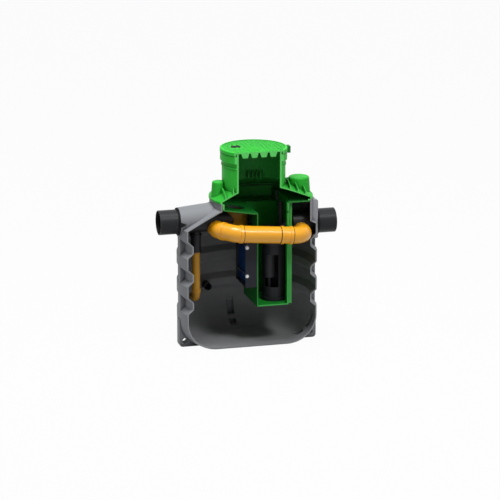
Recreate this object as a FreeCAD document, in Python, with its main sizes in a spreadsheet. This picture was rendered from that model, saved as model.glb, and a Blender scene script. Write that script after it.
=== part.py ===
import FreeCAD, Part
import math
import os
import re
import Sketcher

# Cut-away oil separator: a grooved round tank with its front sawn off, a green access
# insert with neck and lid, and the pipework inside. X runs from inlet to outlet, Y to the
# back, Z up. The origin is on the tank's axis, at the flat underside. Millimetres.

doc = FreeCAD.newDocument("oil_separator")
sheet = doc.addObject("Spreadsheet::Sheet", "sizes")

driving = {
    # Tank
    "tankRadius": 457, "tankWall": 8, "baseCorner": 185, "wallTop": 799,
    "grooveLow": 300, "groovePitch": 187, "grooveDepth": 34, "grooveFlat": 47, "grooveFlank": 33,
    "wallArc": 80, "cutFront": 143, "seatGap": 0.3,
    "shoulderSlope": 0.6, "shoulderLap": 20, "collarInset": 29, "collarRadius": 334, "collarTall": 169,
    # Feet and posts
    "postWidth": 65, "postSink": 3, "footOut": 4, "footRound": 22,
    "footHoleRadius": 18, "footHoleInset": 38, "footHoleUp": 40,
    # Inlet hood and outlet boss
    "hoodOut": 2, "hoodRadius": 92, "hoodDraft": 0.09, "hoodLength": 270,
    "bossOut": 5, "bossHalf": 95, "bossDrop": 18, "bossUnder": 12, "bossRound": 30,
    "sealRadius": 90, "sealDepth": 8, "tabLong": 34, "tabHalf": 18, "tabProud": 8,
    # Main pipes
    "pipeRadius": 80, "pipeWall": 5, "pipeOut": 132, "inletUp": 836, "outletUp": 781,
    "spigotGap": 4, "spigotStep": 2.5,
    # Access insert
    "greenWall": 8, "skirtLip": 4, "skirtFlange": 12, "skirtRise": 68,
    "ribTall": 16, "ribThick": 10, "ribClear": 78, "ribPitch": 52, "ribInLeft": 119, "ribInRight": 177,
    "neckBack": 48, "neckRadius": 206, "neckTilt": 3.9, "neckTall": 254,
    "beadDown": 114, "beadTall": 10, "beadDeep": 4, "rimTall": 48, "rimStep": 2,
    "lidRadius": 219, "lidRim": 25, "lidRound": 6, "lidGap": 4, "lipWide": 9, "lipTall": 3,
    "lidRibDeep": 30, "lidRibPitch": 62, "lidRibRoot": 52, "lidRibTip": 34, "lidRibReach": 186,
    "keyX": -67, "keyY": 29, "keyHalf": 30, "keyWing": 14, "keyWaist": 5, "keyDeep": 5,
    "latchLong": 46, "latchOut": 16, "latchTall": 44,
    "ventInset": 82, "ventRadius": 68, "cableInset": 54, "cableRadius": 41,
    "stubTall": 122, "stubDraft": 0.06, "stubRound": 14,
    # Dish and well
    "dishGap": 4, "dishDrop": 2, "shelfLow": 893, "shelfFar": 936, "shelfFlat": 19, "shelfHigh": 957,
    "dishDeep": 32, "wellLeft": 39, "wellStep": 242, "wellRight": 272, "wellStepBack": 115, "wellBack": 190,
    "wellBottom": 268,
    # Coalescing filter
    "filterOut": 85, "filterFront": 143, "filterBack": 105, "filterLow": 400, "filterTall": 320,
    "filterPlate": 10, "foamInset": 18, "rodRadius": 4, "rodInset": 10, "rodDown": 52, "rodUp": 78,
    "nutRadius": 10, "nutTall": 8,
    # Inlet pipework
    "tubeX": -80, "tubeRadius": 82, "tubeLow": 720, "tubeTop": 884, "hatchRadius": 60,
    "dropInset": 116, "sleeveRadius": 33, "sleeveWall": 8, "sleeveLow": 628, "sleeveLip": 40,
    "sleeveLipTall": 10, "sleeveLipDown": 20,
    "dropRadius": 27, "dropWall": 3, "dropLow": 376, "dropBend": 42, "dropSocket": 31, "dropSocketTall": 22,
    "dropTail": 30, "backStubX": -185, "backStubUp": 298, "backStubRadius": 26, "backStubLong": 55,
    # Bypass
    "bypassRadius": 55, "bypassWall": 4, "bypassFront": 215, "bypassUp": 773, "bypassFall": 5,
    "bypassBend": 100, "bypassRight": 346, "elbowBend": 70, "bypassLeft": -223, "bypassTurn": -125,
    "socketRadius": 59, "socketLong": 20, "runLeft": -86, "runRight": 167, "legCap": 12,
    # Outlet riser
    "riserX": 182, "riserRadius": 75, "riserWall": 6, "riserTop": 742, "riserSeat": 299,
    "baseLip": 7, "seatBore": 26, "teeRadius": 82, "teeLow": 650, "teeTop": 752,
    "branchRadius": 46, "branchWall": 4, "branchUp": 690, "branchDrop": 12, "plugGap": 24, "plugLong": 14,
    "windowLow": 368, "windowTop": 587, "windowHalf": 40, "windowX": 155,
    "floatX": 152, "floatRadius": 37, "floatLow": 424, "floatTop": 606, "floatRing": 5, "stemRadius": 10,
    "valveRadius": 34, "valveTall": 8, "liftX": 228, "liftRadius": 16, "liftTop": 926,
}
# Worked out from the sizes above
derived = {
    "collarX": "tankRadius - collarInset - collarRadius", "skirtRadius": "collarRadius + skirtLip",
    "dishRadius": "collarRadius - tankWall - dishGap", "neckX": "collarX - neckBack",
    "ventX": "collarX + skirtRadius - ventInset", "cableX": "collarX - skirtRadius + cableInset",
    "ribLeft": "skirtRadius - collarX - ribInLeft", "ribRight": "collarX + skirtRadius - ribInRight",
    "collarTop": "wallTop + collarTall", "neckFoot": "collarTop + skirtFlange + skirtRise",
    "lidTop": "neckFoot + neckTall", "stubTop": "collarTop + stubTall", "dishTop": "collarTop - dishDrop",
    "postRadius": "tankRadius - postSink", "footReach": "tankRadius + footOut",
    "hoodReach": "tankRadius + hoodOut", "bossReach": "tankRadius + bossOut",
    "pipeReach": "tankRadius + pipeOut", "lidPanel": "lidTop - lipTall", "lidUnder": "lidPanel - greenWall",
    "pocketUp": "footHoleUp + footHoleRadius + tankWall", "pocketLow": "footHoleUp + tankWall / 2",
    "bossTop": "collarTop - bossDrop", "bossLow": "outletUp - pipeRadius - bossUnder",
    "filterTop": "filterLow + filterTall", "rodUpper": "filterTop - rodDown", "rodLower": "filterLow + rodUp",
    "dropX": "dropInset - tankRadius", "baseRadius": "riserRadius + baseLip",
    "outletStart": "wellRight + plugGap",
}
for row, (alias, number) in enumerate(driving.items(), start=1):
    sheet.set(f"A{row}", alias)
    sheet.set(f"B{row}", str(number))
    sheet.setAlias(f"B{row}", alias)
doc.recompute()

nodes = []


def size(text):
    # Formulas are written in plain words: a driving dimension, or one worked out from others
    def spell(word):
        name = word.group()
        if name in derived:
            return f"({size(derived[name])})"
        return f"sizes.{name}" if name in driving else name
    return re.sub(r"[A-Za-z]\w*", spell, text)


def value(text):
    return float(sheet.evalExpression(size(text)))


def bind(thing, **formulas):
    for name, text in formulas.items():
        thing.setExpression(name, size(text))
    return thing


def place(thing, x="0", y="0", z="0", axis=None, turn=0):
    if axis:
        thing.Placement = FreeCAD.Placement(FreeCAD.Vector(), FreeCAD.Rotation(FreeCAD.Vector(*axis), turn))
    for letter, text in zip("xyz", (x, y, z)):
        thing.setExpression(f"Placement.Base.{letter}", size(text))
    return thing


def node(label, thing):
    thing.Label = label
    nodes.append(thing)
    return thing


# Round bars and boxes

along = {"x": ((0, 1, 0), 90), "y": ((1, 0, 0), -90), "z": (None, 0)}


def bar(radius, length, x="0", y="0", z="0", way="z"):
    axis, turn = along[way]
    made = bind(doc.addObject("Part::Cylinder", "bar"), Radius=radius, Height=length)
    return place(made, x, y, z, axis, turn)


def cone(low, high, length, x="0", y="0", z="0", way="z"):
    axis, turn = along[way]
    made = bind(doc.addObject("Part::Cone", "cone"), Radius1=low, Radius2=high, Height=length)
    return place(made, x, y, z, axis, turn)


def box(x0, x1, y0, y1, z0, z1):
    made = doc.addObject("Part::Box", "box")
    bind(made, Length=f"({x1}) - ({x0})", Width=f"({y1}) - ({y0})", Height=f"({z1}) - ({z0})")
    return place(made, x0, y0, z0)


# Booleans

def fuse(*pieces):
    made = doc.addObject("Part::MultiFuse", "joined")
    made.Shapes = list(pieces)
    made.Refine = True
    return made


def cut(base, *tools):
    for tool in tools:
        made = doc.addObject("Part::Cut", "trimmed")
        made.Base = base
        made.Tool = tool
        base = made
    return base


def common(base, tool):
    made = doc.addObject("Part::Common", "shared")
    made.Base = base
    made.Tool = tool
    return made


def pipe(radius, wall, length, x="0", y="0", z="0", way="z"):
    return cut(bar(radius, length, x, y, z, way), bar(f"{radius} - ({wall})", length, x, y, z, way))


# Sketched profiles: each corner is two formulas, and a third one rounds its way in with that radius

def outline(body, role, corners):
    sketch = body.newObject("Sketcher::SketchObject", "profile")
    plane = [feature for feature in body.Origin.OriginFeatures if feature.Role == role][0]
    sketch.AttachmentSupport = [(plane, "")]
    sketch.MapMode = "FlatFace"
    points = [FreeCAD.Vector(value(corner[0]), value(corner[1]), 0) for corner in corners]
    starts = []
    ends = []
    for i, corner in enumerate(corners):
        back = points[i - 1]
        here = points[i]
        if len(corner) == 2:
            sketch.addGeometry(Part.LineSegment(back, here))
            starts.append(1)
            ends.append(2)
            continue
        radius = abs(value(corner[2]))
        bulge = math.copysign(1, value(corner[2]))
        chord = here - back
        reach = math.sqrt(max(radius ** 2 - (chord.Length / 2) ** 2, 0))
        side = FreeCAD.Vector(-chord.y, chord.x, 0).normalize() * (reach * bulge)
        middle = (back + here) * 0.5 + side
        ring = Part.Circle(middle, FreeCAD.Vector(0, 0, 1), radius)
        first, last = (back, here) if bulge > 0 else (here, back)
        sketch.addGeometry(Part.ArcOfCircle(ring, ring.parameter(first), ring.parameter(last)))
        starts.append(1 if bulge > 0 else 2)
        ends.append(2 if bulge > 0 else 1)
    for i in range(len(corners)):
        before = (i - 1) % len(corners)
        sketch.addConstraint(Sketcher.Constraint("Coincident", before, ends[before], i, starts[i]))
    for i, corner in enumerate(corners):
        for kind, text, amount in zip(("DistanceX", "DistanceY"), corner, points[i]):
            number = sketch.addConstraint(Sketcher.Constraint(kind, -1, 1, i, ends[i], amount))
            sketch.setExpression(f"Constraints[{number}]", size(text))
        if len(corner) == 3:
            number = sketch.addConstraint(Sketcher.Constraint("Radius", i, abs(value(corner[2]))))
            sketch.setExpression(f"Constraints[{number}]", size(f"abs({corner[2]})"))
    return sketch


def turned(corners, arc="360", x="0", y="0", middle=0):
    # A profile in the radius and height plane, spun about the vertical line through x, y
    body = doc.addObject("PartDesign::Body", "turned")
    sketch = outline(body, "XZ_Plane", corners)
    spin = body.newObject("PartDesign::Revolution", "spin")
    spin.Profile = sketch
    spin.ReferenceAxis = (sketch, ["V_Axis"])
    spin.Midplane = True
    bind(spin, Angle=arc)
    return place(body, x, y, "0", (0, 0, 1), middle)


def padded(corners, role, length):
    # A profile drawn on a plane through the origin and thickened evenly to both sides
    body = doc.addObject("PartDesign::Body", "padded")
    sketch = outline(body, role, corners)
    pad = body.newObject("PartDesign::Pad", "pad")
    pad.Profile = sketch
    pad.Midplane = True
    bind(pad, Length=length)
    return body


# The front that is sawn away

sawn = box("-2 * tankRadius", "2 * tankRadius", "-2 * tankRadius", "-cutFront", "-tankRadius", "2 * lidTop")


# Tank shell

def groovedEdge(inset):
    # Corners of the wall's face from bottom to top, set in by the given amount
    face = [(f"tankRadius - {inset}", "baseCorner")]
    for number in range(3):
        middle = f"grooveLow + {number} * groovePitch"
        for reach, sign in (("grooveFlat / 2 + grooveFlank", "-"), ("grooveFlat / 2", "-"),
                            ("grooveFlat / 2", "+"), ("grooveFlat / 2 + grooveFlank", "+")):
            deep = " - grooveDepth" if "Flank" not in reach else ""
            face.append((f"tankRadius{deep} - {inset}", f"{middle} {sign} ({reach})"))
    face.append((f"tankRadius - {inset}", "wallTop"))
    return face


wallProfile = groovedEdge("0") + groovedEdge("tankWall")[::-1]
baseProfile = [("0", "0"), ("tankRadius - baseCorner", "0"), ("tankRadius", "baseCorner", "baseCorner"),
               ("tankRadius - tankWall", "baseCorner"),
               ("tankRadius - baseCorner", "tankWall", "-(baseCorner - tankWall)"), ("0", "tankWall")]
shoulderIn = "(collarRadius - collarX - shoulderLap)"
shoulderOuterTop = f"wallTop + (tankRadius - {shoulderIn}) * shoulderSlope"
shoulderInnerTop = f"{shoulderOuterTop} - tankWall * sqrt(1 + shoulderSlope ^ 2)"
shoulderProfile = [("tankRadius", "wallTop"), (shoulderIn, shoulderOuterTop),
                   (shoulderIn, shoulderInnerTop), ("tankRadius - tankWall", "wallTop")]
underShoulder = [("0", "baseCorner"), ("tankRadius - tankWall", "baseCorner"),
                 ("tankRadius - tankWall", "wallTop"), (shoulderIn, shoulderInnerTop),
                 ("0", shoulderInnerTop)]
innerSkin = ([("0", "baseCorner")] + groovedEdge("tankWall")
             + [(shoulderIn, shoulderInnerTop), ("0", shoulderInnerTop)])
postSeat = ([("0", "0"), ("tankRadius - baseCorner", "0"),
             ("tankRadius + seatGap", "baseCorner + seatGap", "baseCorner + seatGap")]
            + groovedEdge("-seatGap")[1:] + [("0", "wallTop")])

collarHole = bar("collarRadius + seatGap", "lidTop", "collarX")


def hoodSpace(inset, start):
    # The tapered room under the inlet hood, from its end face inwards
    mouth = f"hoodRadius - {inset} + hoodDraft * ({start})"
    root = f"hoodRadius - {inset} + hoodDraft * hoodLength"
    return cone(mouth, root, f"hoodLength - ({start})", f"-hoodReach + {start}", "0", "inletUp", "x")


def bossSpace(inset):
    # The upright block around the outlet, rounded on top and at both sides
    side = [("collarX", f"bossLow + {inset}"), (f"bossReach - {inset}", f"bossLow + {inset}"),
            (f"bossReach - {inset}", "bossTop - bossRound"),
            ("bossReach - bossRound", f"bossTop - {inset}", f"bossRound - {inset}"),
            ("collarX", f"bossTop - {inset}")]
    plan = [("collarX", f"-bossHalf + {inset}"), ("bossReach - bossRound", f"-bossHalf + {inset}"),
            (f"bossReach - {inset}", "-bossHalf + bossRound", f"bossRound - {inset}"),
            (f"bossReach - {inset}", "bossHalf - bossRound"),
            ("bossReach - bossRound", f"bossHalf - {inset}", f"bossRound - {inset}"),
            ("collarX", f"bossHalf - {inset}")]
    return common(padded(side, "XZ_Plane", "2 * bossHalf"), padded(plan, "XY_Plane", "2 * lidTop"))


rooms = {"inlet": hoodSpace("tankWall", "tankWall"), "outlet": bossSpace("tankWall")}
shells = {"inlet": hoodSpace("0", "0"), "outlet": bossSpace("0")}

# Each foot is hollow from the inside, above and in front of its hole
sides = {"right": 0, "back": 90, "left": 180}
pocketIn = "(tankRadius - baseCorner)"
holeSide = "(footReach - footHoleInset - footHoleRadius - tankWall)"
upperPocket = [(pocketIn, "pocketUp"), ("footReach - tankWall", "pocketUp"),
               ("footReach - tankWall", "baseCorner - tankWall"), (pocketIn, "baseCorner - tankWall")]
lowerPocket = [(pocketIn, "1.5 * tankWall"), (holeSide, "1.5 * tankWall"),
               (holeSide, "pocketLow"), (pocketIn, "pocketLow")]


def facing(thing, turn):
    thing.Placement = FreeCAD.Placement(FreeCAD.Vector(), FreeCAD.Rotation(FreeCAD.Vector(0, 0, 1), turn))
    return thing


pockets = {}
for label, turn in sides.items():
    lower = padded(lowerPocket, "XZ_Plane", "postWidth - 2 * tankWall")
    upper = padded(upperPocket, "XZ_Plane", "postWidth - 2 * tankWall")
    pockets[label] = facing(fuse(lower, upper), turn)

node("tank_base", cut(turned(baseProfile), sawn, *pockets.values()))
for label, number, side in (("right", -1, "outlet"), ("back", 0, None), ("left", 1, "inlet")):
    segment = turned(wallProfile, "wallArc", middle=90 + number * value("wallArc"))
    node(f"tank_wall_{label}", cut(segment, sawn, shells[side]) if side else segment)
node("tank_shoulder", cut(turned(shoulderProfile), collarHole, shells["inlet"], shells["outlet"], sawn))
collarTube = pipe("collarRadius", "tankWall", "collarTop - wallTop", "collarX", "0", "wallTop")
node("tank_collar", cut(collarTube, turned(underShoulder), rooms["inlet"], rooms["outlet"], sawn))

throat = "pipeRadius - spigotStep + seatGap"
throats = {"inlet": bar(throat, "2 * pipeReach", "-pipeReach", "0", "inletUp", "x"),
           "outlet": bar(throat, "2 * pipeReach", "-pipeReach", "0", "outletUp", "x")}
for label in ("inlet", "outlet"):
    node(f"{label}_hood", cut(shells[label], rooms[label], turned(innerSkin), collarHole, throats[label]))

# Seals at both pipes; the inlet's has a pointed pull tab on its near side
sealTab = padded([("-hoodReach - sealDepth", "inletUp - tabHalf"), ("-hoodReach + tabLong", "inletUp"),
                  ("-hoodReach - sealDepth", "inletUp + tabHalf")], "XZ_Plane", "2 * (hoodRadius + tabProud)")
tabSide = box("-2 * tankRadius", "0", "-tankRadius", "-sealRadius + tabProud", "0", "lidTop")
nearTab = cut(common(sealTab, tabSide), shells["inlet"])
inletRing = bar("sealRadius", "sealDepth", "-hoodReach - sealDepth", "0", "inletUp", "x")
node("inlet_seal", cut(fuse(inletRing, nearTab), throats["inlet"]))
node("outlet_seal", cut(bar("sealRadius", "sealDepth", "bossReach", "0", "outletUp", "x"), throats["outlet"]))

# Feet and the posts that bridge the grooves: left, right and back
postProfile = [(pocketIn, "0"), ("footReach - footRound", "0"), ("footReach", "footRound", "footRound"),
               ("footReach", "baseCorner"), ("postRadius", "baseCorner"), ("postRadius", "wallTop"),
               (pocketIn, "wallTop")]
for label, turn in sides.items():
    post = padded(postProfile, "XZ_Plane", "postWidth")
    hole = bar("footHoleRadius", "2 * postWidth", "footReach - footHoleInset", "-postWidth",
               "footHoleUp", "y")
    drilled = facing(cut(post, turned(postSeat), hole), turn)
    node(f"{label}_post", cut(drilled, pockets[label], shells["inlet"], shells["outlet"]))


# Green access insert

def ring(radius, x, up, tilt=0):
    made = bind(doc.addObject("Part::Circle", "ring"), Radius=radius)
    return place(made, x, "0", up, (0, 1, 0), tilt)


def slantedCone(inset, drop):
    # From the skirt's round foot to the neck's tilted one
    made = doc.addObject("Part::Loft", "slant")
    made.Sections = [ring(f"skirtRadius - {inset}", "collarX", f"collarTop + skirtFlange - ({drop})"),
                     ring(f"neckRadius - {inset}", "neckX", f"neckFoot - ({drop})", -value("neckTilt"))]
    made.Solid = True
    made.Ruled = True
    return made


skirtSkin = slantedCone("0", "0")
skirtHollow = cut(skirtSkin, slantedCone("greenWall", "greenWall / 2"),
                  bar("neckRadius - greenWall", "lidTop", "neckX"))
skirtFoot = pipe("skirtRadius", "skirtRadius - collarRadius + tankWall", "skirtFlange",
                 "collarX", "0", "collarTop")
neckRoom = bar("neckRadius + beadDeep + seatGap", "lidTop", "neckX")


def stubShape(x, radius, inset):
    # A stub tapers upwards to a rounded top
    top = f"stubTop - {inset}"
    profile = [("0", "collarTop"), (f"{radius} - {inset} + stubDraft * stubTall", "collarTop"),
               (f"{radius} - {inset}", "stubTop - stubRound"),
               (f"{radius} - stubRound", top, f"stubRound - {inset}"), ("0", top)]
    return turned(profile, x=x)


stubs = {"vent": ("ventX", "ventRadius"), "cable": ("cableX", "cableRadius")}

# Upright ribs of one height stiffen the skirt
ribSpace = fuse(slantedCone("0", "-ribTall"),
                bar("skirtRadius", "ribTall", "collarX", "0", "collarTop + skirtFlange"))
ribs = []
ribPlaces = ["-ribLeft", "-ribLeft - ribPitch", "ribRight", "ribRight + ribPitch", "ribRight + 2 * ribPitch"]
for x in ribPlaces:
    for y0, y1 in (("-tankRadius", "-ribClear"), ("ribClear", "tankRadius")):
        plate = box(f"{x} - ribThick / 2", f"{x} + ribThick / 2", y0, y1, "collarTop", "lidTop")
        ribs.append(cut(common(plate, ribSpace), skirtSkin, neckRoom))
node("skirt", cut(fuse(skirtHollow, skirtFoot, *ribs), sawn))

# The neck stands on the skirt's tilted top
neckSink = "neckRadius * sin(neckTilt * 1 deg)"
neckTube = pipe("neckRadius", "greenWall", f"lidUnder - neckFoot + {neckSink}", "neckX", "0",
                f"neckFoot - {neckSink}")
belowNeck = bind(doc.addObject("Part::Cylinder", "below"), Radius="2 * neckRadius", Height="neckRadius")
place(belowNeck, f"neckX + {neckSink}", "0", "neckFoot - neckRadius * cos(neckTilt * 1 deg)",
      (0, 1, 0), -value("neckTilt"))
neckBead = pipe("neckRadius + beadDeep", "beadDeep + greenWall / 2", "beadTall",
                "neckX", "0", "lidTop - beadDown")
neckRim = pipe("lidRadius - rimStep", "lidRadius - rimStep - neckRadius + greenWall / 2", "rimTall",
               "neckX", "0", "lidTop - lidRim - lidGap - rimTall")
node("neck", fuse(cut(neckTube, sawn, belowNeck), cut(neckBead, sawn), cut(neckRim, sawn)))

# Lid with a raised edge, stiffening ribs below and a bow-tie recess for its key
lidEdge = "(lidRadius - lidRound)"
lidProfile = [("0", "lidUnder"), ("lidRadius - greenWall", "lidUnder"),
              ("lidRadius - greenWall", "lidTop - lidRim"), ("lidRadius", "lidTop - lidRim"),
              ("lidRadius", "lidTop - lidRound"), (lidEdge, "lidTop", "lidRound"),
              (f"{lidEdge} - lipWide", "lidTop"), (f"{lidEdge} - lipWide", "lidPanel"), ("0", "lidPanel")]
lidCup = turned(lidProfile, x="neckX")
lidRibs = []
for number in (-1.5, -0.5, 0.5, 1.5):
    middle = f"neckX + {number} * lidRibPitch"
    tooth = [(f"{middle} - lidRibRoot / 2", "lidPanel - greenWall / 2"),
             (f"{middle} - lidRibRoot / 2", "lidUnder"),
             (f"{middle} - lidRibTip / 2", "lidUnder - lidRibDeep"),
             (f"{middle} + lidRibTip / 2", "lidUnder - lidRibDeep"),
             (f"{middle} + lidRibRoot / 2", "lidUnder"),
             (f"{middle} + lidRibRoot / 2", "lidPanel - greenWall / 2")]
    lidRibs.append(common(padded(tooth, "XZ_Plane", "2 * lidRadius"),
                          bar("lidRibReach", "lidTop", "neckX")))
bowTie = padded([("keyX - keyHalf", "keyY - keyWing"), ("keyX", "keyY - keyWaist"),
                 ("keyX + keyHalf", "keyY - keyWing"), ("keyX + keyHalf", "keyY + keyWing"),
                 ("keyX", "keyY + keyWaist"), ("keyX - keyHalf", "keyY + keyWing")],
                "XY_Plane", "2 * keyDeep")
node("lid", cut(fuse(lidCup, *lidRibs), place(bowTie, "0", "0", "lidPanel"), sawn))
latchBlock = box("neckX", "neckX + lidRadius + latchOut", "-latchLong", "0", "lidTop - latchTall", "lidTop")
node("lid_latch", cut(latchBlock, bar("lidRadius + seatGap", "2 * lidTop", "neckX")))

underneath = box("-2 * tankRadius", "2 * tankRadius", "-tankRadius", "tankRadius",
                 "0", "collarTop + skirtFlange")
for label, (x, radius) in stubs.items():
    cup = cut(stubShape(x, radius, "0"), stubShape(x, radius, "greenWall"))
    node(f"{label}_stub", cut(cup, skirtSkin, neckRoom, underneath))

# Dish below the skirt, with a low shelf to the left and a high one to the right
dishLeft = "(collarX - dishRadius)"
dishTopLine = [(dishLeft, "shelfFar"), ("shelfFlat", "shelfLow"), ("wellStep", "shelfLow"),
               ("wellStep", "shelfHigh"), ("collarX + dishRadius", "shelfHigh")]
dishUnderLine = [("collarX + dishRadius", "shelfHigh - greenWall"),
                 ("wellStep + greenWall", "shelfHigh - greenWall"),
                 ("wellStep + greenWall", "shelfLow - greenWall"), ("shelfFlat", "shelfLow - greenWall"),
                 (dishLeft, "shelfFar - greenWall")]
wellInside = [("wellLeft", "-2 * wellBack"), ("wellStep - greenWall", "-2 * wellBack"),
              ("wellStep - greenWall", "-wellStepBack + greenWall"),
              ("wellRight - greenWall", "-wellStepBack + greenWall"),
              ("wellRight - greenWall", "wellBack - greenWall"), ("wellLeft", "wellBack - greenWall")]
wellRoom = padded(wellInside, "XY_Plane", "2 * lidTop")
hatch = bar("hatchRadius", "lidTop", "tubeX")
dishFloor = common(padded(dishTopLine + dishUnderLine, "XZ_Plane", "3 * dishRadius"),
                   bar("dishRadius", "lidTop", "collarX"))
node("dish_floor", cut(dishFloor, wellRoom, hatch, sawn))
belowShelf = padded(dishTopLine + [("collarX + dishRadius", "shelfLow - dishDeep"),
                                   (dishLeft, "shelfLow - dishDeep")], "XZ_Plane", "3 * dishRadius")
dishWall = pipe("dishRadius", "greenWall", "dishTop - shelfLow", "collarX", "0", "shelfLow")
dishLip = pipe("collarRadius - tankWall - seatGap", "greenWall + collarRadius - tankWall - dishRadius",
               "greenWall", "collarX", "0", "dishTop - greenWall")
node("dish_rim", cut(fuse(dishWall, dishLip), belowShelf, sawn))

# Well that hangs from the dish
leftPanel = box("wellLeft - greenWall", "wellLeft", "-2 * wellBack", "wellBack",
                "wellBottom", "shelfLow - greenWall")
filterWindow = box("wellLeft - 2 * greenWall", "wellLeft + greenWall", "-filterFront + filterPlate",
                   "filterBack - filterPlate", "filterLow + filterPlate", "filterTop - filterPlate")
node("well_left_wall", cut(leftPanel, filterWindow, sawn))
node("well_back_wall", box("wellLeft", "wellRight - greenWall", "wellBack - greenWall", "wellBack",
                           "wellBottom", "shelfLow - greenWall"))
rightPlan = [("wellStep - greenWall", "-2 * wellBack"), ("wellStep", "-2 * wellBack"),
             ("wellStep", "-wellStepBack"), ("wellRight", "-wellStepBack"), ("wellRight", "wellBack"),
             ("wellRight - greenWall", "wellBack"), ("wellRight - greenWall", "-wellStepBack + greenWall"),
             ("wellStep - greenWall", "-wellStepBack + greenWall")]
rightPanel = common(padded(rightPlan, "XY_Plane", "2 * lidTop"),
                    box("0", "tankRadius", "-cutFront", "tankRadius", "wellBottom", "shelfHigh - greenWall"))


def rising(radius, length):
    # A round bar along the outlet branch, which climbs from the riser to the outlet pipe
    climb = value("outletUp - branchDrop - branchUp")
    reach = value("outletStart - riserX")
    made = bind(doc.addObject("Part::Cylinder", "rising"), Radius=radius, Height=length)
    return place(made, "riserX", "0", "branchUp", (0, 1, 0), 90 - math.degrees(math.atan2(climb, reach)))


node("well_right_wall", cut(rightPanel, rising("branchRadius + seatGap", "tankRadius")))
node("well_floor", common(wellRoom, box("0", "tankRadius", "-cutFront", "tankRadius", "wellBottom",
                                        "wellBottom + greenWall")))

# Coalescing filter on the well's left side
filterLeft = "(wellLeft - filterOut)"
frameOuter = box(filterLeft, "wellLeft - greenWall", "-filterFront", "filterBack", "filterLow", "filterTop")
frameInner = box(f"{filterLeft} - filterPlate", "wellLeft", "-filterFront + filterPlate",
                 "filterBack - filterPlate", "filterLow + filterPlate", "filterTop - filterPlate")
rodX = f"{filterLeft} + rodInset"
rodHoles = [bar("rodRadius + seatGap", "4 * filterFront", rodX, "-2 * filterFront", up, "y")
            for up in ("rodUpper", "rodLower")]
node("filter_frame", cut(frameOuter, frameInner, *rodHoles))
node("filter_foam", box(f"{filterLeft} + foamInset", "wellLeft", "-filterFront + filterPlate + seatGap",
                        "filterBack - filterPlate - seatGap", "filterLow + filterPlate + seatGap",
                        "filterTop - filterPlate - seatGap"))


def nut(x, y, z):
    made = doc.addObject("Part::Prism", "nut")
    made.Polygon = 6
    bind(made, Circumradius="nutRadius", Height="nutTall")
    return place(made, x, y, z, *along["y"])


for label, up in (("upper", "rodUpper"), ("lower", "rodLower")):
    rod = bar("rodRadius", "filterFront + filterBack + 2 * nutTall", rodX, "-filterFront - nutTall", up, "y")
    frontNut = nut(rodX, "-filterFront - nutTall", up)
    node(f"filter_rod_{label}", fuse(rod, frontNut, nut(rodX, "filterBack", up)))


# Inlet side pipework
def bypassLeg(radius, x, start, length):
    # A level bar towards the back, at the height that the falling bypass has at x
    return bar(radius, length, x, start, f"bypassUp - ({x}) * tan(bypassFall * 1 deg)", "y")


inletLong = "pipeReach - hoodReach - sealDepth - spigotGap"
inletSpigot = pipe("pipeRadius", "pipeWall", inletLong, "-pipeReach", "0", "inletUp", "x")
inletRun = pipe("pipeRadius - spigotStep", "pipeWall - spigotStep", f"pipeReach + tubeX - ({inletLong})",
                f"-pipeReach + {inletLong}", "0", "inletUp", "x")
dropBore = bar("dropRadius - dropWall", "inletUp", "dropX")
inletBypass = bypassLeg("bypassRadius - bypassWall", "bypassLeft", "-bypassFront", "bypassFront")
tubeRoom = bar("tubeRadius + seatGap", "lidTop", "tubeX")
node("inlet_pipe", cut(fuse(inletSpigot, inletRun), tubeRoom, dropBore, inletBypass))
inletTube = pipe("tubeRadius", "pipeWall", "tubeTop - tubeLow", "tubeX", "0", "tubeLow")
inletBore = bar("pipeRadius - pipeWall", "pipeReach", "tubeX - pipeReach", "0", "inletUp", "x")
node("inlet_tube", cut(inletTube, inletBore))

sleeve = pipe("sleeveRadius", "sleeveWall", "inletUp - sleeveLow", "dropX", "0", "sleeveLow")
lip = pipe("sleeveLip", "sleeveLip - sleeveRadius + sleeveWall / 2", "sleeveLipTall", "dropX", "0",
           "inletUp - pipeRadius - sleeveLipDown")
node("drop_sleeve", cut(fuse(sleeve, lip), throats["inlet"]))
node("drop_pipe", pipe("dropRadius", "dropWall", "sleeveLow - dropLow", "dropX", "0", "dropLow"))


def bend(radius, wall, middle, arc):
    # A quarter or part turn of pipe about the vertical axis, starting on +X
    def solid(inner):
        made = doc.addObject("Part::Torus", "bend")
        return bind(made, Radius1=middle, Radius2=f"{radius} - ({inner})", Angle3=arc)
    return cut(solid("0"), solid(wall))


def stand(thing, x, y, z, rotation):
    thing.Placement = FreeCAD.Placement(FreeCAD.Vector(), rotation)
    return place(thing, x, y, z)


# The drop pipe's elbow turns from down to the back
turnBack = FreeCAD.Rotation(FreeCAD.Vector(0, -1, 0), FreeCAD.Vector(0, 0, -1), FreeCAD.Vector(1, 0, 0),
                            "ZXY")
dropTurn = stand(bend("dropRadius", "dropWall", "dropBend", "90"), "dropX", "dropBend",
                 "dropLow - dropSocketTall", turnBack)
dropEnd = pipe("dropRadius", "dropWall", "dropTail", "dropX", "dropBend",
               "dropLow - dropSocketTall - dropBend", "y")
dropSocketRing = pipe("dropSocket", "dropSocket - dropRadius + dropWall", "dropSocketTall", "dropX", "0",
                      "dropLow - dropSocketTall")
node("drop_elbow", fuse(dropTurn, dropEnd, dropSocketRing))

grooveWater = bar("tankRadius - grooveDepth - tankWall - seatGap", "lidTop")
backReach = "sqrt((tankRadius - grooveDepth - tankWall) ^ 2 - (abs(backStubX) + backStubRadius) ^ 2)"
node("back_stub", common(pipe("backStubRadius", "bypassWall", "2 * backStubLong", "backStubX",
                              f"{backReach} - backStubLong", "backStubUp", "y"), grooveWater))


# Bypass, laid flat about the origin and then tilted to its fall
flat = {}


def frontPipe(start, length):
    return pipe("bypassRadius", "bypassWall", length, start, "-bypassFront", "0", "x")


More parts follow.
